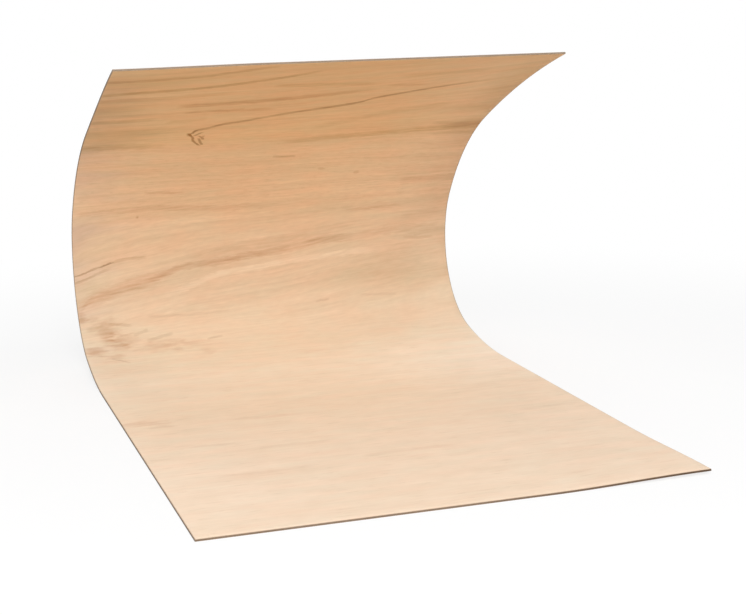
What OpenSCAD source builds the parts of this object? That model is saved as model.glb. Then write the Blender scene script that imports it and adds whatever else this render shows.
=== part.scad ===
// Sheet of thin bending plywood, curled into a C: it lies flat on its foot,
// turns up at the heel and leans forward over the foot.
// The face grain runs across the sheet, along the axes of the bends, which is what lets it bend.
// Millimetres, +Z up. X runs across the sheet, and the curl is open toward -Y.
// The origin is the middle of the underside of the flat foot.

/* [Sheet] */
// Length of the sheet, measured along the curl at mid-thickness
sheet_length = 3050; // [2440:10:3660]
// Width of the sheet, from one side edge to the other
sheet_width = 1220; // [600:10:1550]
// Thickness of the sheet
thickness = 5; // [3:0.5:9]

/* [Curl] */
// Inside radius of the rise, the slow bend out of the foot
rise_radius = 1100; // [600:20:1600]
// Angle that the rise turns through
rise_angle = 15; // [5:0.5:25]
// Inside radius of the heel, the tightest bend
heel_radius = 270; // [180:5:360]
// Angle that the heel turns through
heel_angle = 108; // [70:0.5:115]
// Inside radius of the back, above the heel
back_radius = 760; // [500:10:1000]
// Angle that the back turns through
back_angle = 31; // [15:0.5:35]
// Inside radius of the crest, the slow bend up to the top edge
crest_radius = 3300; // [2000:50:4500]
// Angle that the crest turns through
crest_angle = 10.5; // [4:0.5:16]

/* [Hidden] */

// Facets of a full turn, where a bend is drawn as a mesh
$fn = 360;
// Where a bend's section stands when the sheet passes it level
bottom_angle = -90;
// Steps in a millimetre that a place is split at
fine_steps = 1000;

// The bends take their length at mid-thickness, and what is left of the sheet lies flat
curl_length = bend_length(rise_radius, rise_angle) + bend_length(heel_radius, heel_angle)
    + bend_length(back_radius, back_angle) + bend_length(crest_radius, crest_angle);
foot_length = sheet_length - curl_length;
seam = [0, foot_length / 2, 0];

// Heading of the sheet where each bend starts: 0 is level toward the back, 90 is straight up
heel_heading = rise_angle;
back_heading = heel_heading + heel_angle;
crest_heading = back_heading + back_angle;

// Axis of each bend
rise_axis = seam + [0, 0, thickness + rise_radius];
heel_axis = next_axis(rise_axis, rise_radius, heel_radius, heel_heading);
back_axis = next_axis(heel_axis, heel_radius, back_radius, back_heading);
crest_axis = next_axis(back_axis, back_radius, crest_radius, crest_heading);

// Length at mid-thickness of a bend with this inside radius and angle
function bend_length(radius, angle) = (radius + thickness / 2) * PI * angle / 180;

// Two bends run smoothly into each other when both axes lie on one line through their joint
function next_axis(axis, radius, next_radius, heading) =
    axis + (radius - next_radius) * [0, sin(heading), -cos(heading)];

function rounded(place) = [for (length = place) round(length)];

// Carries its children to a place in three moves of falling size, whole millimetres first:
// each move is a short number, so the bends meet flush to the last digit
module at(place) {
    whole = rounded(place);
    fine = rounded((place - whole) * fine_steps) / fine_steps;
    translate(whole) translate(fine) translate(place - whole - fine) children();
}

// Flat stretch of the sheet, from the front edge back to where the curl starts
module foot() {
    at(seam) translate([-sheet_width / 2, -foot_length, 0])
        cube([sheet_width, foot_length, thickness]);
}

// Bent stretch of the sheet: its section turns about the bend's axis
module bend(axis, radius, heading, angle) {
    at(axis) translate([-sheet_width / 2, 0, 0]) rotate([90, 0, 90])
        rotate_extrude(angle = angle, start = bottom_angle + heading)
            translate([radius, 0]) square([thickness, sheet_width]);
}

// The whole sheet, one stretch after another from the front edge to the top edge
module plywood_sheet() {
    color("burlywood") {
        foot();
        bend(rise_axis, rise_radius, 0, rise_angle);
        bend(heel_axis, heel_radius, heel_heading, heel_angle);
        bend(back_axis, back_radius, back_heading, back_angle);
        bend(crest_axis, crest_radius, crest_heading, crest_angle);
    }
}

plywood_sheet();
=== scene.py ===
# %% [markdown]
# # A curled sheet of bending plywood
# Bending plywood is a thin panel of three veneers. The two thick ones outside have their grain across the
# sheet and the thin one between them runs the other way, so the panel bends like a belt. Here it lies flat
# at the front, turns up at the heel and leans forward over itself. The solid model comes in as a fixed
# frame, and this lesson dresses it: it models the sheet again with its plies and sawn edges, and gives it
# a veneer.

import math

import bmesh
import bpy
import numpy as np
from mathutils import Matrix, Vector


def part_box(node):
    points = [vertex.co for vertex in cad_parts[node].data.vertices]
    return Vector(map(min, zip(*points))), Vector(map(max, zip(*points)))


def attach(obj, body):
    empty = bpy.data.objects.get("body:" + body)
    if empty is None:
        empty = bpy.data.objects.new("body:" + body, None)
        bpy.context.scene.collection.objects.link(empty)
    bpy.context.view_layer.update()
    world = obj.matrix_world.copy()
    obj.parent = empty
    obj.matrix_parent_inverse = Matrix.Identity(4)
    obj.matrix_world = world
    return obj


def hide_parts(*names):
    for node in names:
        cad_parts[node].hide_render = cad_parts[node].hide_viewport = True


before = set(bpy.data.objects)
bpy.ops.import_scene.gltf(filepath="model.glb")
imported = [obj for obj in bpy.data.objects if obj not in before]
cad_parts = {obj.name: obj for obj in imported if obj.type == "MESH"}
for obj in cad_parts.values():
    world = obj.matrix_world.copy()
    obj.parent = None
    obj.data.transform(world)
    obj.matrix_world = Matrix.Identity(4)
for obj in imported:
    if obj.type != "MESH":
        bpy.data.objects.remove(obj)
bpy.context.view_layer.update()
sheet_low, sheet_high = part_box("plywood_sheet")
print("sheet reaches from", sheet_low, "to", sheet_high)

# %% [markdown]
# ## The sheet's measures
# A designer would draw the curl from the side: a level line and four arcs that run smoothly into each other.
# The width and the foot are read from the frame, because its origin is the middle of the foot. The arcs are
# the ones that the solid has, each with its inside radius in metres and the degrees that it turns.

# %% Arcs of the curl
THICKNESS = 0.005
ARCS = {"rise": (1.100, 15.0), "heel": (0.270, 108.0), "back": (0.760, 31.0), "crest": (3.300, 10.5)}

sheet_width = sheet_high[0] - sheet_low[0]
front_y = sheet_low[1]
foot_length = -2 * front_y


class Bend:
    """One arc of the curl, with the axis it turns about and where it starts on the sheet."""

    def __init__(self, name, radius, angle, heading, seam, start):
        self.name, self.radius, self.angle, self.heading = name, radius, angle, heading
        self.axis = seam + radius * self.inward(heading)
        self.start, self.length = start, radius * math.radians(angle)

    def inward(self, heading):
        """Unit vector from the sheet to the axis, where the sheet has this heading."""
        turn = math.radians(heading)
        return Vector((0, -math.sin(turn), math.cos(turn)))

    def end(self):
        """Point of the face where this arc hands over to the next one."""
        return self.axis - self.radius * self.inward(self.heading + self.angle)


bends = []
seam, heading, start = Vector((0, -front_y, THICKNESS)), 0.0, foot_length
for name, (radius, angle) in ARCS.items():
    bend = Bend(name, radius, angle, heading, seam, start)
    bends.append(bend)
    seam, heading, start = bend.end(), heading + angle, start + bend.length
face_length = start
print("foot", round(foot_length, 3), "m, face", round(face_length, 3), "m, top edge at", tuple(seam))

# %% [markdown]
# ## The camera
# The picture was taken from the left of the sheet, a little above it, with a long lens. The lens, the place
# and the three angles were found by matching the four edges of the sheet. Turning about the upright axis,
# then tipping, then rolling is how a camera on a tripod is set, so the matrix is built in that order. A new
# camera looks straight down, and a quarter turn brings it level.

# %% Camera
CAMERA_PLACE = (-1.216, -3.673, 1.151)
CAMERA_LENS_MM = 75.6
CAMERA_HEADING, CAMERA_TILT, CAMERA_ROLL = -18.215, -12.012, -1.053
CAMERA_REACH = 200
QUARTER_TURN = 90

bpy.ops.object.camera_add()
camera = bpy.context.object
camera.name = "camera"
camera.data.lens = CAMERA_LENS_MM
camera.data.clip_end = CAMERA_REACH
camera.matrix_world = (
    Matrix.Translation(CAMERA_PLACE)
    @ Matrix.Rotation(math.radians(CAMERA_HEADING), 4, "Z")
    @ Matrix.Rotation(math.radians(QUARTER_TURN + CAMERA_TILT), 4, "X")
    @ Matrix.Rotation(math.radians(CAMERA_ROLL), 4, "Z")
)
bpy.context.scene.camera = camera
bpy.context.scene.view_settings.view_transform = "Standard"
print("camera with a", camera.data.lens, "mm lens at", CAMERA_PLACE)

# %% [markdown]
# ## Wiring a material
# A material is a net of nodes, and drawn by hand a formula of ten terms is ten boxes. This class wraps one
# socket of the net. Python's own operators add the Math nodes, so a formula reads as a formula, and `node`
# adds any other kind of node: its settings first, then the values or wires of its sockets.


# %% Wire
class Wire:
    """One socket of a node tree. Operators on wires and numbers add Math nodes."""

    # Stops or points that a new ramp or curve already has
    READY_MADE = 2

    def __init__(self, tree, socket=None):
        self.tree, self.socket = tree, socket

    def node(self, kind, settings, sockets, output=0):
        """A new node, with its settings and then its sockets, each a wire or a plain value."""
        made = self.tree.nodes.new(kind)
        for name, value in settings.items():
            if name == "stops":
                self.set_stops(made.color_ramp.elements, value)
            elif name == "points":
                self.set_points(made.mapping, value)
            else:
                setattr(made, name, value)
        for key, value in sockets.items():
            if isinstance(value, Wire):
                self.tree.links.new(value.socket, made.inputs[key])
            else:
                made.inputs[key].default_value = value
        return Wire(self.tree, made.outputs[output] if made.outputs else None)

    def set_stops(self, elements, stops):
        for number, (position, colour) in enumerate(stops):
            stop = elements[number] if number < self.READY_MADE else elements.new(position)
            stop.position, stop.color = position, colour

    def set_points(self, mapping, points):
        mapping.use_clip, mapping.extend = False, "HORIZONTAL"
        first, last = points[0][0], points[-1][0]
        # The curve's range becomes that of the points, in an order in which its two ends never cross
        mapping.clip_min_x = min(first, 0)
        mapping.clip_max_x = last
        mapping.clip_min_x = first
        curve = mapping.curves[0].points
        for number, place in enumerate(points):
            point = curve[number] if number < self.READY_MADE else curve.new(*place)
            point.location, point.handle_type = place, "AUTO_CLAMPED"
        mapping.update()

    def out(self, name):
        """Another output of the same node."""
        return Wire(self.tree, self.socket.node.outputs[name])

    def math(self, operation, first, second=0.0):
        return self.node("ShaderNodeMath", {"operation": operation}, {0: first, 1: second})

    def __add__(self, other):
        return self.math("ADD", self, other)

    def __radd__(self, other):
        return self.math("ADD", other, self)

    def __sub__(self, other):
        return self.math("SUBTRACT", self, other)

    def __rsub__(self, other):
        return self.math("SUBTRACT", other, self)

    def __mul__(self, other):
        return self.math("MULTIPLY", self, other)

    def __rmul__(self, other):
        return self.math("MULTIPLY", other, self)

    def __truediv__(self, other):
        return self.math("DIVIDE", self, other)

    def __rtruediv__(self, other):
        return self.math("DIVIDE", other, self)

    def __gt__(self, other):
        return self.math("GREATER_THAN", self, other)

    def __lt__(self, other):
        return self.math("LESS_THAN", self, other)

    def __abs__(self):
        return self.math("ABSOLUTE", self)

    def length(self):
        """Length of a vector."""
        return self.node("ShaderNodeVectorMath", {"operation": "LENGTH"}, {0: self}, output="Value")

    def ramp(self, low, high, top=1.0):
        """0 below low, top above high, and a smooth step between; high may be the smaller one."""
        settings = {"interpolation_type": "SMOOTHSTEP", "clamp": True}
        return self.node("ShaderNodeMapRange", settings, {0: self, 1: low, 2: high, 3: 0.0, 4: top})

    def curve(self, points):
        """A smooth curve through a few (value, result) points, level beyond the first and the last."""
        return self.node("ShaderNodeFloatCurve", {"points": points}, {"Value": self})

    def blend(self, colour, other):
        """From one colour to another by this wire."""
        return self.node("ShaderNodeMix", {"data_type": "RGBA"}, {0: self, 6: colour, 7: other}, output=2)


def new_material(name):
    material = bpy.data.materials.new(name)
    material.use_nodes = True
    material.node_tree.nodes.clear()
    return material, Wire(material.node_tree)


def finish_material(wire, shader):
    wire.node("ShaderNodeOutputMaterial", {}, {"Surface": shader})


def seen_directly(wire):
    """1 where the camera looks, straight or by a gloss or a clear pane, and 0 where light is gathered."""
    path = wire.node("ShaderNodeLightPath", {}, {})
    rays = path.out("Is Camera Ray") + path.out("Is Glossy Ray") + path.out("Is Transmission Ray")
    return wire.math("MINIMUM", rays, 1.0)


print("wire ready")

# %% [markdown]
# ## Floor and surroundings
# The picture has a plain white ground. The floor is a matte white that takes the sheet's shadow, and toward
# the camera a good part of it glows, which lifts it to white and leaves the shadow soft. The surroundings
# do the same: white when looked at, and only a gentle fill as a source of light.

# %% Floor
FLOOR_SIZE = 120.0
FLOOR_WHITE = (0.85, 0.85, 0.85, 1)
FLOOR_GLOW = 0.80
GLOW_FROM, GLOW_FULL = 1.2, 3.0
WHITE = (1, 1, 1, 1)

bpy.ops.object.select_all(action="DESELECT")
bpy.ops.mesh.primitive_plane_add(size=FLOOR_SIZE)
floor = bpy.context.object
floor.name = "floor"
material, wire = new_material("white_floor")
matte = wire.node("ShaderNodeBsdfDiffuse", {}, {"Color": FLOOR_WHITE})
glow = wire.node("ShaderNodeEmission", {}, {"Color": WHITE, "Strength": 1.0})
spot = wire.node("ShaderNodeTexCoord", {}, {}, output="Object")
far = spot.length().ramp(GLOW_FROM, GLOW_FULL)
share = seen_directly(wire) * (FLOOR_GLOW + far * (1 - FLOOR_GLOW))
finish_material(wire, wire.node("ShaderNodeMixShader", {}, {0: share, 1: matte, 2: glow}))
floor.data.materials.append(material)
print("floor of", FLOOR_SIZE, "m")

# %% Surroundings
FILL_LIGHT = 0.25

world = bpy.data.worlds.new("white_room")
bpy.context.scene.world = world
world.use_nodes = True
world.node_tree.nodes.clear()
wire = Wire(world.node_tree)
strength = seen_directly(wire) * (1 - FILL_LIGHT) + FILL_LIGHT
sky = wire.node("ShaderNodeBackground", {}, {"Color": WHITE, "Strength": strength})
wire.node("ShaderNodeOutputWorld", {}, {"Surface": sky})
print("fill light", FILL_LIGHT)

# %% [markdown]
# ## Lamps
# The foot is bright, the back is a tone darker and the leaning top is lit by little more than what the foot
# throws up at it. So the main lamp is a wide soft box in front of the sheet, with a weaker one higher up. A
# third one behind keeps the outside of the curl readable. Each has a place and a power in watts.

# %% Lamps
LAMPS = {
    "front_lamp": ((-1.0, -3.8, 3.2), 210),
    "high_lamp": ((0.6, -2.2, 4.6), 80),
    "rear_lamp": ((0.0, 4.8, 3.5), 80),
}
LAMP_SIZE = 3.0
SHEET_MIDDLE = Vector((0.0, 0.2, 0.3))

for name, (place, watts) in LAMPS.items():
    bpy.ops.object.light_add(type="AREA", location=place)
    lamp = bpy.context.object
    lamp.name = name
    lamp.data.shape, lamp.data.size, lamp.data.energy = "DISK", LAMP_SIZE, watts
    lamp.rotation_euler = (SHEET_MIDDLE - Vector(place)).to_track_quat("-Z", "Y").to_euler()
    print(name, "of", watts, "W at", place)

# %% [markdown]
# ## Places on the flat sheet
# Plies, grain and streaks follow the sheet and not the room, so a point has to know where it was before the
# sheet was bent. An unwrap would guess that, and here it is exact: on the foot the distance from the front
# edge is plain, and on an arc it is the angle about the arc's axis times the radius. The depth below the
# face is a third number. A degree of slack keeps the last row of an arc on that arc.

# %% Unroll
SLACK_DEGREES = 1


def unroll(points):
    """Points on the bent sheet as rows of (across, along, depth below the face), in metres."""
    points = np.array(points)
    along, depth = points[:, 1] - front_y, THICKNESS - points[:, 2]
    for bend in bends:
        out_y, out_z = points[:, 1] - bend.axis.y, points[:, 2] - bend.axis.z
        below = np.hypot(out_y, out_z) - bend.radius
        turned = np.degrees(np.arctan2(out_y, -out_z)) - bend.heading
        in_turn = (turned > 0) & (turned < bend.angle + SLACK_DEGREES)
        here = in_turn & (abs(below - THICKNESS / 2) < THICKNESS)
        along = np.where(here, bend.start + np.radians(turned) * bend.radius, along)
        depth = np.where(here, below, depth)
    return np.stack([points[:, 0], along, depth], axis=1)


for bend in bends:
    print("end of the", bend.name, "unrolls to", unroll([bend.end()])[0].round(4))

# %% [markdown]
# ## The foot
# The sheet starts as the face that shows: first the flat foot. A grid is added and stretched to the foot's
# size at the height of the upper face. It has many small squares, because the sheet will later lift a little
# at one corner, and a real sheet does that in a soft curve.

# %% Foot
COLUMNS = 64
ROW_SPACING = 0.02

foot_rows = round(foot_length / ROW_SPACING)
bpy.ops.object.select_all(action="DESELECT")
bpy.ops.mesh.primitive_grid_add(x_subdivisions=COLUMNS, y_subdivisions=foot_rows, size=1)
sheet = bpy.context.object
sheet.name = "curled_plywood"
bpy.ops.object.mode_set(mode="EDIT")
bpy.ops.transform.resize(value=(sheet_width, foot_length, 1))
bpy.ops.transform.translate(value=(0, 0, THICKNESS))
print("foot of", len(bmesh.from_edit_mesh(sheet.data).faces), "squares")

# %% [markdown]
# ## The curl
# A smooth row of arcs could be drawn as a curve and swept. Spinning is closer to how the sheet bends: the
# back row of the foot turns about the axis of the first arc and draws a strip of faces behind it. The spin
# leaves its last row selected, so the next arc goes on from there.


# %% Spin the four arcs
def pick(kind, wanted):
    """Selects only the items for which wanted(item, flat places of its corners) is true, and counts them."""
    bpy.ops.mesh.select_all(action="DESELECT")
    bpy.ops.mesh.select_mode(type=kind)
    shape = bmesh.from_edit_mesh(sheet.data)
    shape.verts.index_update()
    flat = unroll([corner.co for corner in shape.verts])
    items = {"VERT": shape.verts, "EDGE": shape.edges, "FACE": shape.faces}[kind]
    count = 0
    for item in items:
        corners = [item] if kind == "VERT" else item.verts
        if wanted(item, flat[[corner.index for corner in corners]]):
            item.select_set(True)
            count += 1
    shape.select_flush_mode()
    bmesh.update_edit_mesh(sheet.data)
    return count


DEGREES_PER_ROW = 2.0
NEAR = 1e-5

back_row = pick("EDGE", lambda edge, places: abs(places[:, 1] - foot_length).max() < NEAR)
for bend in bends:
    rows = math.ceil(max(bend.angle / DEGREES_PER_ROW, bend.length / ROW_SPACING))
    bpy.ops.mesh.spin(steps=rows, angle=math.radians(bend.angle), center=bend.axis, axis=(-1, 0, 0))
    print(bend.name, "turned in", rows, "rows of", back_row)

# %% [markdown]
# ## The plies
# So far the sheet is a skin. The face veneer, the cross veneer and the back veneer are added to it one after
# another, each by extruding the whole skin outward by the ply's thickness, as a press would stack them. The
# Solidify modifier would give the thickness in one go, but not the lines between the plies on the edges.

# %% Stack the plies
FACE_PLY = 0.0021
CORE_PLY = THICKNESS - 2 * FACE_PLY


def push(distance):
    """Extrudes the selected faces along their normals."""
    bpy.ops.mesh.extrude_region_shrink_fatten(
        MESH_OT_extrude_region={}, TRANSFORM_OT_shrink_fatten={"value": distance, "use_even_offset": True})


bpy.ops.mesh.select_all(action="SELECT")
bpy.ops.mesh.remove_doubles(threshold=NEAR)
bpy.ops.mesh.normals_make_consistent(inside=False)
bpy.ops.mesh.select_mode(type="FACE")
bpy.ops.mesh.select_all(action="SELECT")
for ply in (FACE_PLY, CORE_PLY, FACE_PLY):
    push(ply)
bpy.ops.mesh.select_all(action="SELECT")
bpy.ops.mesh.normals_make_consistent(inside=False)
shape = bmesh.from_edit_mesh(sheet.data)
open_edges = sum(not edge.is_manifold for edge in shape.edges)
print("plies stacked:", len(shape.faces), "faces,", open_edges, "open edges")

# %% [markdown]
# ## Sawn edges
# A saw leaves plywood with a crisp edge on which the plies show. The cross veneer is soft and tears back a
# little, so its strip is pushed in and leaves a fine groove all round. The arrises of the two faces are then
# broken with a small bevel, as by one stroke of sandpaper.

# %% Groove and arrises
GROOVE_DEPTH = 0.0005
ARRIS, ARRIS_STEPS = 0.0004, 2
SHARP_DEGREES = 60

core_middle = FACE_PLY + CORE_PLY / 2
core_strips = pick("FACE", lambda face, places: abs(places[:, 2].mean() - core_middle) < CORE_PLY / 2)
push(-GROOVE_DEPTH)


def on_arris(edge, places):
    at_face = abs(places[:, 2] - THICKNESS / 2).min() > THICKNESS / 2 - NEAR
    return at_face and edge.calc_face_angle(0) > math.radians(SHARP_DEGREES)


arrises = pick("EDGE", on_arris)
bpy.ops.mesh.bevel(offset=ARRIS, segments=ARRIS_STEPS, affect="EDGES")
print(core_strips, "strips of the core pushed in,", arrises, "edges broken")

# %% [markdown]
# ## A split at the left edge
# Where the sheet bends hardest, the face veneer has opened along its grain at the left edge. A splitting
# blade makes such a cut, and so does a ball that is stretched to a long needle and taken out of the sheet
# with a boolean: it is widest in the middle and runs out to nothing.


# %% Split
def bent(across, along, depth):
    """The other way round: where a place on the flat sheet is on the bent one."""
    for bend in reversed(bends):
        if along > bend.start:
            turned = bend.heading + math.degrees((along - bend.start) / bend.radius)
            return bend.axis - (bend.radius + depth) * bend.inward(turned) + Vector((across, 0, 0))
    return Vector((across, front_y + along, THICKNESS - depth))


SPLIT_MOUTH = (-0.632, 1.820)
SPLIT_TIP = (-0.480, 1.865)
SPLIT_WIDTH = 0.0016
SPLIT_SINK = 0.0003
NEEDLE_SIDES, NEEDLE_RINGS = 8, 10

bpy.ops.object.mode_set(mode="OBJECT")
mouth, tip = bent(*SPLIT_MOUTH, SPLIT_SINK), bent(*SPLIT_TIP, SPLIT_SINK)
bpy.ops.mesh.primitive_uv_sphere_add(
    segments=NEEDLE_SIDES, ring_count=NEEDLE_RINGS, radius=1, location=(mouth + tip) / 2,
    rotation=(tip - mouth).to_track_quat("Z", "Y").to_euler(),
    scale=(SPLIT_WIDTH / 2, SPLIT_WIDTH / 2, (tip - mouth).length / 2))
needle = bpy.context.object
bpy.ops.object.select_all(action="DESELECT")
bpy.context.view_layer.objects.active = sheet
sheet.select_set(True)
cut = sheet.modifiers.new("split", "BOOLEAN")
cut.operation, cut.solver, cut.object = "DIFFERENCE", "EXACT", needle
points_before = len(sheet.data.vertices)
bpy.ops.object.modifier_apply(modifier=cut.name)
bpy.data.objects.remove(needle)
print("split adds", len(sheet.data.vertices) - points_before, "points")

# %% [markdown]
# ## The flat places travel with the mesh
# A material can read numbers that are stored on the points of a mesh. The flat places are stored now, before
# the sheet is lifted, so the veneer stays the same however the sheet is bent afterwards.

# %% Flat places as an attribute
flat = unroll([corner.co for corner in sheet.data.vertices])
flat[:, 2] = np.clip(flat[:, 2], 0, THICKNESS)
places = sheet.data.attributes.new("flat", "FLOAT_VECTOR", "POINT")
places.data.foreach_set("vector", flat.astype(np.float32).ravel())
print("attribute for", len(flat), "points")

# %% [markdown]
# ## Not quite true
# Thin plywood never keeps to a drawn shape. Here the front right corner stands off the floor by some
# millimetres, the left edge draws in a little on its way to the top, and the corner at its end hangs. The
# tool for this is proportional editing: a few points are picked and moved, and what is near follows in a
# soft curve.

# %% Lift and draw in
GRIP = 0.010
CORNER_LIFT, LIFT_REACH = 0.0088, 0.40
EDGE_ALONG, DRAWN_IN, DRAWN_REACH = 2.675, 0.0147, 0.714
CORNER_DROP, DROP_REACH = 0.003, 0.40
SMOOTH_DEGREES = 35


def ease(where, move, reach):
    """Moves the points about a place on the flat sheet, and all within reach by less and less."""
    place = bent(*where, THICKNESS / 2)
    picked = pick("VERT", lambda point, places: (point.co - place).length < GRIP)
    bpy.ops.transform.translate(
        value=move, use_proportional_edit=True, proportional_edit_falloff="SMOOTH", proportional_size=reach)
    print(picked, "points moved by", [round(part, 4) for part in move])


half_width = sheet_width / 2
bpy.ops.object.mode_set(mode="EDIT")
ease((half_width, 0.0), Vector((0, 0, CORNER_LIFT)), LIFT_REACH)
ease((-half_width, EDGE_ALONG), Vector((DRAWN_IN, 0, 0)), DRAWN_REACH)
ease((-half_width, face_length), Vector((0, 0, -CORNER_DROP)), DROP_REACH)
bpy.ops.object.mode_set(mode="OBJECT")
bpy.ops.object.shade_smooth_by_angle(angle=math.radians(SMOOTH_DEGREES))

# %% [markdown]
# ## The veneer's places and tone
# The veneer is drawn on the flat sheet: `across` runs with the grain and `along` from the front edge to the
# top. Rotary veneer changes its tone slowly along the sheet. Here it is cream on the foot and turns
# to a warm tan at the top, and a few stops on a colour ramp are enough for that. The ramp also holds
# painted light: its bright band at the heel is painted light, and the darker top is partly painted shade.

# %% Tone along the sheet, with painted light
# The bright stops about 1.30 m are painted light at the heel; the falling tone at the top is partly painted
# shade.
TONES_AND_PAINTED_LIGHT = {
    0.00: (0.770, 0.610, 0.465), 0.50: (0.795, 0.630, 0.478), 0.95: (0.805, 0.648, 0.487),
    1.30: (0.892, 0.762, 0.600), 1.50: (0.850, 0.708, 0.537), 1.75: (0.755, 0.565, 0.388),
    2.05: (0.820, 0.572, 0.363), 2.32: (0.800, 0.543, 0.322), 2.37: (0.770, 0.505, 0.275),
    2.60: (0.735, 0.470, 0.250), 3.04: (0.675, 0.418, 0.208),
}

material, wire = new_material("plywood")
flat_place = wire.node("ShaderNodeAttribute", {"attribute_name": "flat"}, {}, output="Vector")
across = wire.node("ShaderNodeSeparateXYZ", {}, {0: flat_place})
along, depth = across.out("Y"), across.out("Z")
behind = depth > THICKNESS / 2
stops = [(place / face_length, (*tone, 1)) for place, tone in TONES_AND_PAINTED_LIGHT.items()]
tone = wire.node("ShaderNodeValToRGB", {"stops": stops}, {0: along / face_length})
print("tone of", len(stops), "stops")

# %% [markdown]
# ## How the grain runs
# Grain lines are never straight. They wander a little everywhere, rise in an arch at the heel and climb to
# the right in the upper part. A streak drawn on `row` in place of `along` takes part in all three. The arch
# is a Float Curve, the node for a line that is drawn through a few points.

# %% Streaks
NOISE_MIDDLE, NOISE_SPREAD = 0.5, 4
BEHIND_SHIFT = 7.3

side = behind * BEHIND_SHIFT


def noise(length, height, seed, rows, detail=2.0):
    """Streaks of about this length and height in metres, as numbers mostly between -1 and 1."""
    spot = wire.node("ShaderNodeCombineXYZ", {}, {0: across / length, 1: rows / height, 2: side + seed})
    cloud = wire.node("ShaderNodeTexNoise", {}, {"Vector": spot, "Scale": 1.0, "Detail": detail})
    return (cloud - NOISE_MIDDLE) * NOISE_SPREAD


print("streaks behind are taken", BEHIND_SHIFT, "further on in the noise")

# %% Rows of the grain
ARCH = [(-0.61, 1.774), (-0.56, 1.788), (-0.48, 1.802), (-0.35, 1.821), (-0.19, 1.843), (0.07, 1.870),
        (0.27, 1.902), (0.61, 1.935)]
ARCH_LEVEL = 1.85
ARCH_IN, ARCH_OUT = (1.50, 1.74), (2.22, 1.80)
CLIMB_IN, CLIMB = (2.30, 3.00), 0.14
WANDER = 0.006

in_arch = along.ramp(*ARCH_IN) * along.ramp(*ARCH_OUT)
in_climb = along.ramp(*CLIMB_IN, CLIMB)
from_left = across + half_width
wander = noise(0.45, 0.12, 1.0, along) * WANDER
row = along + wander - in_arch * (across.curve(ARCH) - ARCH_LEVEL) - in_climb * from_left * from_left
print("grain runs along", len(ARCH), "points of the arch")

# %% [markdown]
# ## Bands, streaks and fibres
# Wood has its pattern at several sizes at once. Broad bands, streaks of a hand's length, fine lines, mottle
# and single fibres are layers of the same stretched noise. Each row has the length and height in metres, the
# seed, the detail and the strength. The foot shows these layers faintly and the upper part clearly.

# %% Grain
GRAIN = {
    "bands": (0.90, 0.050, 2.0, 2.0, 0.22),
    "streaks": (0.28, 0.012, 3.0, 3.0, 0.26),
    "lines": (0.10, 0.004, 4.0, 3.0, 0.18),
    "mottle": (0.035, 0.009, 12.0, 3.0, 0.22),
    "fibres": (0.025, 0.0009, 5.0, 2.0, 0.10),
}
FOOT_CONTRAST, CONTRAST_IN = 0.4, (1.25, 1.85)

layers = {}
grain = 0
for name, (length, height, seed, detail, weight) in GRAIN.items():
    layers[name] = noise(length, height, seed, row, detail)
    grain = layers[name] * weight + grain
contrast = along.ramp(*CONTRAST_IN) * (1 - FOOT_CONTRAST) + FOOT_CONTRAST
print("grain in", len(layers), "layers")

# %% [markdown]
# Some layers keep to one part of the sheet: flecks above the heel, and short dashes and soft patches on the
# foot. One more lets the hue drift a little between warm and cool. All of them end up as a blend between two
# tints of the tone, with the tone itself halfway.

# %% Flecks, dashes, patches and hue
FLECKS, FLECKS_IN, FLECKS_OUT = 0.40, (1.95, 2.05), (2.40, 2.30)
DASHES, PATCHES, FOOT_OUT = 0.35, 0.18, (1.60, 1.40)
HUE_DRIFT = [(1.2, 0.50), (1.7, 0.85), (2.3, 0.95), (2.7, 1.25)]
WARMER, COOLER = (1.020, 0.980, 0.965), (0.980, 1.010, 1.010)
LIGHTER, DARKER = (1.09, 1.11, 1.14), (0.91, 0.89, 0.86)
HALFWAY = 0.5


def tinted(colour, tint):
    return wire.node("ShaderNodeVectorMath", {"operation": "MULTIPLY"}, {0: colour, 1: tint})


on_foot = along.ramp(*FOOT_OUT)
on_back = along.ramp(*FLECKS_IN) * along.ramp(*FLECKS_OUT)
flecks = noise(0.030, 0.004, 6.0, row).ramp(0.30, 0.75, FLECKS) * on_back
dashes = noise(0.06, 0.010, 11.0, along).ramp(0.35, 0.9, DASHES) * on_foot
patches = noise(0.10, 0.050, 14.0, along, detail=3.0) * on_foot * PATCHES
shade = grain * contrast + flecks + dashes + patches + HALFWAY
drift = noise(0.16, 0.05, 10.0, row, detail=3.0) * along.curve(HUE_DRIFT) + HALFWAY
wood = drift.blend(tinted(tone, WARMER), tinted(tone, COOLER))
wood = shade.blend(tinted(wood, LIGHTER), tinted(wood, DARKER))
print("hue drifts most at", max(HUE_DRIFT, key=lambda point: point[1])[0], "m from the front")

# %% [markdown]
# ## The figure
# Some marks are this sheet's own, and those are drawn. A mark is three curves: the course that it runs, its
# strength from end to end, and its section. Late wood is sharp on one side and soft on the other, so the
# widths above and below the course differ. A mark is shown by tinting the wood under it, on the front face
# only. A little noise makes its course fuzzy and its strength uneven.


# %% Drawing marks
def mark(run, beside, strength, upper, lower, fade_in, fade_out, points):
    """Drawn along the wire `run`. `beside` is the wire across the course, whose points are (run, beside)."""
    first, last = points[0][0], points[-1][0]
    section = (beside - run.curve(points)).curve([(-lower, 0), (0, 1), (upper, 0)])
    ends = [(first, 0), (first + fade_in, strength), (last - fade_out, strength), (last, 0)]
    return section * run.curve(ends)


def streaks_of(marks, beside):
    return sum(mark(across, beside, *each) for each in marks)


def stained_or_painted_light(colour, amount, tint):
    return (amount * on_face).blend(colour, tinted(colour, tint))


SOFT_FUZZ, CRISP_FUZZ = 0.005, 0.002
UNEVEN_SPREAD, UNEVEN_MIDDLE = 0.65, 0.95

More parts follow.
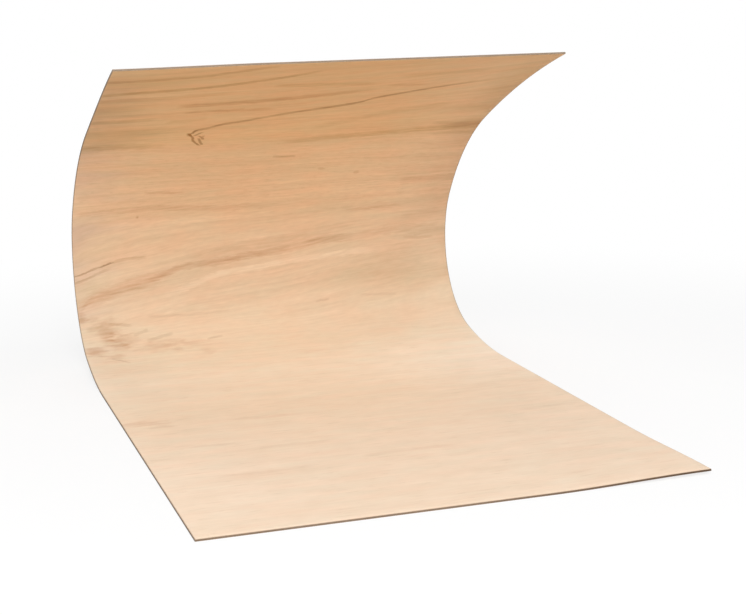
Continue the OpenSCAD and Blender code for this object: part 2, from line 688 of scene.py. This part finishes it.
on_face = 1 - behind
fuzz = noise(0.03, 0.005, 7.0, along, detail=3.0)
soft_along = along + fuzz * SOFT_FUZZ
crisp_along = along + fuzz * CRISP_FUZZ
uneven = noise(0.07, 0.008, 8.0, row, detail=3.0) * UNEVEN_SPREAD + UNEVEN_MIDDLE
print("courses fuzzy by", SOFT_FUZZ, "m and crisp ones by", CRISP_FUZZ, "m")

# %% [markdown]
# The broad marks come first. Each row has the strength, the widths above and below, the fades at the left
# and the right, and the course from left to right.

# %% Late wood
BROWN_TINT = (0.62, 0.40, 0.26)
BROWN_STREAKS = [
    (0.24, 0.024, 0.026, 0.02, 0.12, [(-0.62, 1.728), (-0.571, 1.750), (-0.508, 1.769), (-0.442, 1.786),
                                      (-0.391, 1.797), (-0.30, 1.816)]),
    (0.20, 0.009, 0.010, 0.03, 0.06, [(-0.60, 1.722), (-0.571, 1.748), (-0.511, 1.768), (-0.442, 1.782),
                                      (-0.38, 1.785)]),
    (0.32, 0.011, 0.013, 0.10, 0.40, [(-0.40, 1.799), (-0.336, 1.813), (-0.282, 1.832), (-0.238, 1.836),
                                      (-0.13, 1.844), (-0.07, 1.854), (0.036, 1.862), (0.118, 1.873),
                                      (0.146, 1.881), (0.28, 1.890)]),
    (0.13, 0.040, 0.022, 0.12, 0.12, [(-0.28, 1.845), (-0.13, 1.862), (0.00, 1.873), (0.15, 1.894),
                                      (0.30, 1.905)]),
    (0.18, 0.014, 0.016, 0.14, 0.05, [(0.10, 1.873), (0.19, 1.887), (0.282, 1.891), (0.375, 1.903),
                                      (0.62, 1.908)]),
    (0.20, 0.011, 0.014, 0.05, 0.20, [(-0.60, 2.036), (-0.37, 2.043), (-0.289, 2.039), (-0.207, 2.031),
                                      (-0.124, 2.026), (0.10, 2.030)]),
    (0.20, 0.006, 0.007, 0.05, 0.06, [(0.25, 1.986), (0.32, 1.987), (0.39, 1.991), (0.45, 1.993)]),
    (0.18, 0.004, 0.030, 0.05, 0.01, [(0.42, 2.105), (0.50, 2.107), (0.62, 2.111)]),
    (0.22, 0.006, 0.006, 0.02, 0.04, [(-0.40, 2.109), (-0.314, 2.103), (-0.27, 2.102)]),
    (0.20, 0.006, 0.006, 0.03, 0.03, [(0.46, 1.876), (0.50, 1.874), (0.57, 1.872)]),
    (0.42, 0.018, 0.018, 0.06, 0.20, [(-0.39, 2.655), (-0.289, 2.661), (-0.149, 2.674), (-0.025, 2.694),
                                      (0.099, 2.723), (0.19, 2.747)]),
    (0.34, 0.010, 0.012, 0.05, 0.08, [(-0.36, 2.598), (-0.289, 2.603), (-0.157, 2.600), (-0.08, 2.596)]),
    (0.24, 0.010, 0.012, 0.04, 0.05, [(0.19, 2.774), (0.256, 2.771), (0.33, 2.760)]),
    (0.14, 0.012, 0.014, 0.06, 0.06, [(-0.35, 0.858), (-0.24, 0.850), (-0.13, 0.842)]),
    (0.12, 0.010, 0.012, 0.06, 0.06, [(-0.51, 0.658), (-0.42, 0.646), (-0.35, 0.640)]),
    (0.12, 0.010, 0.012, 0.05, 0.05, [(0.41, 0.662), (0.50, 0.664), (0.60, 0.668)]),
    (0.12, 0.010, 0.012, 0.05, 0.05, [(-0.33, 0.584), (-0.23, 0.580), (-0.13, 0.578)]),
    (0.14, 0.012, 0.014, 0.06, 0.06, [(-0.11, 0.424), (0.02, 0.430), (0.15, 0.426)]),
    (0.12, 0.010, 0.012, 0.06, 0.06, [(-0.49, 0.396), (-0.36, 0.390), (-0.23, 0.396)]),
]
OCHRE_TINT = (0.56, 0.43, 0.22)
OCHRE_STREAKS = [
    (0.38, 0.015, 0.016, 0.03, 0.06, [(-0.62, 2.916), (-0.504, 2.922), (-0.42, 2.933), (-0.355, 2.943),
                                      (-0.289, 2.967), (-0.207, 3.004), (-0.17, 3.020)]),
    (0.50, 0.013, 0.016, 0.02, 0.12, [(-0.62, 2.783), (-0.512, 2.799), (-0.388, 2.812), (-0.314, 2.828),
                                      (-0.215, 2.860), (-0.124, 2.901), (-0.03, 2.956)]),
    (0.22, 0.018, 0.018, 0.03, 0.10, [(-0.62, 2.725), (-0.479, 2.732), (-0.372, 2.744), (-0.23, 2.760)]),
    (0.26, 0.018, 0.018, 0.06, 0.10, [(-0.15, 2.811), (-0.041, 2.806), (0.041, 2.804), (0.18, 2.790)]),
    (0.20, 0.014, 0.014, 0.04, 0.05, [(-0.40, 2.520), (-0.331, 2.529), (-0.27, 2.536)]),
    (0.22, 0.014, 0.014, 0.03, 0.06, [(-0.62, 2.543), (-0.496, 2.548), (-0.42, 2.555)]),
    (0.20, 0.022, 0.022, 0.08, 0.08, [(0.20, 2.852), (0.256, 2.864), (0.372, 2.885), (0.46, 2.893)]),
    (0.34, 0.020, 0.016, 0.20, 0.03, [(-0.05, 2.329), (0.02, 2.335), (0.149, 2.346), (0.314, 2.360),
                                      (0.413, 2.368), (0.62, 2.378)]),
    (0.18, 0.012, 0.012, 0.05, 0.01, [(0.46, 2.338), (0.53, 2.337), (0.62, 2.333)]),
    (0.20, 0.014, 0.014, 0.04, 0.02, [(0.44, 2.415), (0.488, 2.409), (0.537, 2.401), (0.62, 2.398)]),
    (0.15, 0.026, 0.024, 0.08, 0.10, [(0.05, 2.412), (0.149, 2.459), (0.281, 2.525), (0.372, 2.551),
                                      (0.48, 2.600)]),
    (0.30, 0.024, 0.014, 0.01, 0.08, [(-0.62, 2.350), (-0.537, 2.350), (-0.463, 2.348), (-0.36, 2.344)]),
]
wood = stained_or_painted_light(wood, streaks_of(BROWN_STREAKS, soft_along) * uneven, BROWN_TINT)
wood = stained_or_painted_light(wood, streaks_of(OCHRE_STREAKS, soft_along) * uneven, OCHRE_TINT)
print(len(BROWN_STREAKS) + len(OCHRE_STREAKS), "broad streaks")

# %% [markdown]
# Next are the thin dark lines: the long one that climbs through the upper part, and the hairlines by the
# split. Under the arch runs a pale line, drawn the same way with a tint that brightens.

# %% Thin and pale lines
LINE_TINT = (0.48, 0.33, 0.18)
THIN_LINES = [
    (0.54, 0.010, 0.011, 0.01, 0.36, [(-0.300, 2.434), (-0.291, 2.444), (-0.279, 2.451), (-0.258, 2.461),
                                      (-0.222, 2.485), (-0.165, 2.504), (-0.107, 2.529), (0.008, 2.571),
                                      (0.091, 2.597), (0.161, 2.628), (0.182, 2.649), (0.25, 2.687),
                                      (0.35, 2.733), (0.455, 2.777), (0.56, 2.812)]),
    (0.12, 0.010, 0.011, 0.03, 0.18, [(0.058, 2.587), (0.091, 2.597), (0.161, 2.628), (0.182, 2.649),
                                      (0.25, 2.687), (0.35, 2.733), (0.455, 2.777)]),
    (0.46, 0.0030, 0.0035, 0.06, 0.03, [(-0.62, 1.825), (-0.581, 1.834), (-0.557, 1.843), (-0.49, 1.862)]),
    (0.30, 0.005, 0.006, 0.03, 0.05, [(-0.51, 1.857), (-0.482, 1.865), (-0.435, 1.872), (-0.38, 1.873)]),
    (0.32, 0.004, 0.005, 0.01, 0.06, [(-0.62, 1.803), (-0.571, 1.818), (-0.538, 1.832), (-0.49, 1.846)]),
    (0.24, 0.007, 0.008, 0.03, 0.03, [(-0.42, 1.590), (-0.40, 1.594), (-0.369, 1.603), (-0.33, 1.612)]),
    (0.22, 0.007, 0.008, 0.02, 0.015, [(-0.455, 1.616), (-0.44, 1.622), (-0.405, 1.634)]),
    (0.24, 0.006, 0.007, 0.02, 0.03, [(-0.525, 1.668), (-0.473, 1.660), (-0.45, 1.658)]),
    (0.20, 0.006, 0.007, 0.02, 0.02, [(-0.54, 1.510), (-0.527, 1.504), (-0.485, 1.473)]),
    (0.25, 0.005, 0.006, 0.02, 0.02, [(-0.235, 1.573), (-0.21, 1.578), (-0.18, 1.582)]),
    (0.13, 0.005, 0.006, 0.03, 0.05, [(-0.40, 1.683), (-0.36, 1.680), (-0.25, 1.678), (-0.13, 1.679)]),
    (0.22, 0.004, 0.005, 0.02, 0.02, [(0.14, 1.685), (0.16, 1.688), (0.19, 1.691)]),
    (0.14, 0.005, 0.006, 0.03, 0.03, [(0.29, 1.698), (0.353, 1.694), (0.42, 1.690)]),
    (0.30, 0.006, 0.006, 0.015, 0.015, [(-0.02, 2.249), (0.02, 2.248), (0.055, 2.247)]),
]
PALE_TINT = (1.12, 1.17, 1.24)
PALE_LINES = [
    (0.65, 0.010, 0.012, 0.10, 0.20, [(-0.34, 1.745), (-0.238, 1.777), (-0.184, 1.796), (-0.129, 1.807),
                                      (-0.018, 1.816), (0.026, 1.825), (0.162, 1.834), (0.42, 1.849)]),
    (0.35, 0.006, 0.008, 0.03, 0.03, [(-0.345, 1.690), (-0.31, 1.703), (-0.27, 1.718)]),
    (0.28, 0.007, 0.008, 0.06, 0.10, [(-0.10, 1.905), (0.064, 1.916), (0.162, 1.916), (0.28, 1.920)]),
    (0.30, 0.008, 0.010, 0.10, 0.15, [(-0.50, 1.985), (-0.25, 1.988), (0.05, 1.990)]),
]
wood = stained_or_painted_light(wood, streaks_of(PALE_LINES, soft_along) * uneven, PALE_TINT)
wood = stained_or_painted_light(wood, streaks_of(THIN_LINES, crisp_along) * uneven, LINE_TINT)
print(len(THIN_LINES), "thin lines and", len(PALE_LINES), "pale ones")

# %% [markdown]
# The long line ends in a small spray of strokes like a bird's foot, where a twig once grew. They run up the
# sheet, so here a course gives the place across for each place along, from the lower end to the upper one.

# %% Bird's foot
SPRAY = [
    (0.80, 0.005, 0.005, 0.012, 0.010, [(2.336, -0.262), (2.345, -0.268), (2.357, -0.277), (2.373, -0.287),
                                        (2.390, -0.290), (2.400, -0.296), (2.424, -0.309)]),
    (0.55, 0.008, 0.008, 0.008, 0.008, [(2.402, -0.302), (2.415, -0.306), (2.427, -0.308)]),
    (0.80, 0.006, 0.006, 0.006, 0.008, [(2.419, -0.298), (2.431, -0.296), (2.449, -0.289)]),
    (0.70, 0.005, 0.005, 0.008, 0.010, [(2.340, -0.254), (2.347, -0.257), (2.364, -0.264), (2.386, -0.272)]),
    (0.65, 0.005, 0.005, 0.006, 0.006, [(2.374, -0.257), (2.380, -0.259), (2.389, -0.263), (2.404, -0.276)]),
    (0.65, 0.006, 0.006, 0.006, 0.006, [(2.402, -0.288), (2.407, -0.286), (2.417, -0.279), (2.430, -0.268)]),
    (0.40, 0.005, 0.005, 0.004, 0.004, [(2.392, -0.260), (2.398, -0.260), (2.404, -0.259)]),
]
crisp_across = across + fuzz * CRISP_FUZZ
spray = sum(mark(along, crisp_across, *each) for each in SPRAY)
wood = stained_or_painted_light(wood, spray, LINE_TINT)
print(len(SPRAY), "strokes in the spray")

# %% [markdown]
# Last come soft marks: the brown clouds round a knot at the left of the heel, a patch on the foot, and wide
# fields that are a little darker, greyer or paler than the rest. The grey fields along the left edge are
# painted shade, and the big pale field at the right of the heel is painted light. Each is an ellipse. The
# rim of a cloud is frayed along the grain, and that of a field is only wavy.


# %% Stains, and fields of painted light and shade
def stain_or_painted_light(rim, strength, centre, size):
    """A cloud about an ellipse, strongest in its middle; the wire `rim` moves its rim in and out."""
    scale = (1 / size[0], 1 / size[1], 0)
    shift = (-centre[0] / size[0], -centre[1] / size[1], 0)
    settings = {"operation": "MULTIPLY_ADD"}
    spot = wire.node("ShaderNodeVectorMath", settings, {0: flat_place, 1: scale, 2: shift})
    return (spot.length() - rim).ramp(1.0, 0.0, strength)


def stains_or_painted_light_of(marks, rim):
    return sum(stain_or_painted_light(rim, *each) for each in marks)


FRAYED, WAVY = 0.5, 0.3

frayed = noise(0.05, 0.020, 9.0, row, detail=3.0) * FRAYED
wavy = noise(0.25, 0.060, 13.0, row) * WAVY
print("rims move by up to", FRAYED, "and", WAVY, "of a stain's size")

# %% [markdown]
# Each row has the strength, the centre and the size of an ellipse, across and along the sheet. The wide
# fields are laid down first, so that the clouds keep their colour.

# %% Clouds and fields
BROWN_STAINS = [
    (0.44, (-0.535, 1.650), (0.066, 0.054)), (0.30, (-0.500, 1.600), (0.105, 0.036)),
    (0.26, (-0.505, 1.575), (0.038, 0.052)), (0.48, (-0.580, 1.553), (0.048, 0.038)),
    (0.30, (-0.385, 1.556), (0.115, 0.040)), (0.20, (-0.300, 1.557), (0.100, 0.028)),
    (0.24, (-0.525, 1.512), (0.044, 0.038)), (0.48, (-0.603, 1.692), (0.020, 0.032)),
    (0.18, (-0.245, 1.510), (0.030, 0.042)), (0.60, (-0.411, 2.009), (0.008, 0.007)),
    (0.28, (0.149, 2.175), (0.015, 0.009)), (0.28, (0.269, 2.148), (0.012, 0.011)),
    (0.24, (-0.560, 0.905), (0.095, 0.042)), (0.22, (-0.510, 0.868), (0.060, 0.034)),
]
OLIVE_TINT = (0.68, 0.66, 0.50)
OLIVE_FIELDS = [
    (0.46, (-0.570, 2.440), (0.280, 0.150)), (0.34, (-0.540, 2.900), (0.300, 0.150)),
    (0.46, (-0.600, 2.650), (0.240, 0.150)), (0.26, (0.420, 1.755), (0.360, 0.100)),
    (0.20, (0.600, 2.420), (0.160, 0.120)), (0.42, (0.670, 2.780), (0.240, 0.480)),
    (0.24, (-0.570, 1.790), (0.090, 0.040)),
]
# Painted shade: fields along the left edge, from the arch to the top, darken it and turn it grey.
PAINTED_SHADE_TINT = (0.85, 0.85, 0.97)
LEFT_EDGE_SHADE_FIELDS = [(0.90, (-0.720, 2.400), (0.340, 1.000)), (0.35, (-0.660, 1.940), (0.180, 0.180))]
TAN_TINT = (0.80, 0.68, 0.60)
TAN_FIELDS = [(0.66, (0.720, 2.250), (0.360, 0.900)), (0.42, (-0.590, 1.900), (0.200, 0.085))]
# The first pale field, at the right of the heel, is painted light that brightens that side of the heel.
PALE_AND_PAINTED_LIGHT_FIELDS = [
    (0.55, (0.440, 1.250), (0.480, 0.450)), (0.25, (0.000, 2.450), (0.280, 0.120)),
    (0.35, (-0.300, 1.960), (0.280, 0.040)), (0.24, (-0.520, 0.350), (0.380, 0.500)),
]
wood = stained_or_painted_light(wood, stains_or_painted_light_of(PALE_AND_PAINTED_LIGHT_FIELDS, wavy), PALE_TINT)
wood = stained_or_painted_light(wood, stains_or_painted_light_of(OLIVE_FIELDS, wavy), OLIVE_TINT)
wood = stained_or_painted_light(wood, stains_or_painted_light_of(LEFT_EDGE_SHADE_FIELDS, wavy), PAINTED_SHADE_TINT)
wood = stained_or_painted_light(wood, stains_or_painted_light_of(TAN_FIELDS, wavy), TAN_TINT)
wood = stained_or_painted_light(wood, stains_or_painted_light_of(BROWN_STAINS, frayed), BROWN_TINT)
fields = PALE_AND_PAINTED_LIGHT_FIELDS + OLIVE_FIELDS + LEFT_EDGE_SHADE_FIELDS + TAN_FIELDS
print(len(BROWN_STAINS), "stains and", len(fields), "fields")

# %% [markdown]
# ## Sawn edges of the veneer
# The sawn edges are brown, partly from their own end grain and partly as painted shade, as they face away
# from the lamps above. A strip of painted shade also runs onto the faces along every edge and darkens the
# outline, least at the right of the foot. The front edge is lighter at the left and dark at the right end.
# An edge is told from the faces by the depth, which is between the two only there.

# %% Edges
# The edge colours hold the end grain's own brown and painted shade, as the edges face away from the lamps
# above.
SIDE_BROWN = (0.20, 0.13, 0.08, 1)
TOP_TAN = (0.28, 0.21, 0.15, 1)
FRONT_TAN = (0.26, 0.18, 0.12, 1)
FRONT_DARK = (0.12, 0.07, 0.04, 1)
CORE_DARKER = (0.60, 0.55, 0.50)
CORE_BLUR = 0.0001
TAN_IN, DARK_IN = (2.0, 2.8), (-0.1, half_width)
# Painted shade: a strip on the faces along every edge darkens the outline, eased at the right of the foot.
SHADE_STRIP_WIDTH = 0.003
STRIP_SHADE_AMOUNT, STRIP_SHADE_EASED, STRIP_EASED_IN = 0.8, 0.6, (0.0, 0.3)

rim = depth.ramp(0.0, ARRIS) * depth.ramp(THICKNESS, THICKNESS - ARRIS)
core = abs(depth - THICKNESS / 2).ramp(CORE_PLY / 2 + CORE_BLUR, CORE_PLY / 2)
to_side = half_width - abs(across)
to_end = wire.math("MINIMUM", along, face_length - along)
# Painted shade along the edges, less of it at the right of the foot.
shaded = wire.math("MINIMUM", to_side, to_end).ramp(SHADE_STRIP_WIDTH, 0.0)
strip_eased = on_foot * across.ramp(*STRIP_EASED_IN) * along.ramp(SHADE_STRIP_WIDTH, 2 * SHADE_STRIP_WIDTH) * STRIP_SHADE_EASED
front_brown = across.ramp(*DARK_IN).blend(FRONT_TAN, FRONT_DARK)
side_brown = along.ramp(*TAN_IN).blend(SIDE_BROWN, TOP_TAN)
edge_brown_and_shade = along.ramp(SHADE_STRIP_WIDTH, 0.0).blend(side_brown, front_brown)
# The edge colour is partly the end grain's brown and partly painted shade.
sawn = core.blend(edge_brown_and_shade, tinted(edge_brown_and_shade, CORE_DARKER))
surface = wire.math("MAXIMUM", rim, shaded * (STRIP_SHADE_AMOUNT - strip_eased)).blend(wood, sawn)
print("edges rubbed over", SHADE_STRIP_WIDTH, "m")

# %% [markdown]
# ## Bare wood
# Sanded veneer without a finish is dull, with only a weak gloss, so it is rough and its reflection is held
# back. The fine lines and the fibres stand out by a fraction of a millimetre. That is too fine for the mesh,
# so they are bump.

# %% Shader
FIBRE_RELIEF, RELIEF_STRENGTH = 0.0003, 0.10
ROUGHNESS, REFLECTION = 0.65, 0.3

height = layers["fibres"] + layers["lines"]
relief = wire.node("ShaderNodeBump", {}, {
    "Strength": RELIEF_STRENGTH, "Distance": FIBRE_RELIEF, "Height": height})
shader = wire.node("ShaderNodeBsdfPrincipled", {}, {
    "Base Color": surface, "Roughness": ROUGHNESS, "Specular IOR Level": REFLECTION, "Normal": relief})
finish_material(wire, shader)
sheet.data.materials.clear()
sheet.data.materials.append(material)
print("veneer of", len(material.node_tree.nodes), "nodes on", sheet.name)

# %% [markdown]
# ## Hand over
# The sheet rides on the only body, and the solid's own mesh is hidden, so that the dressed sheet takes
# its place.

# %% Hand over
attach(sheet, "root")
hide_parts("plywood_sheet")
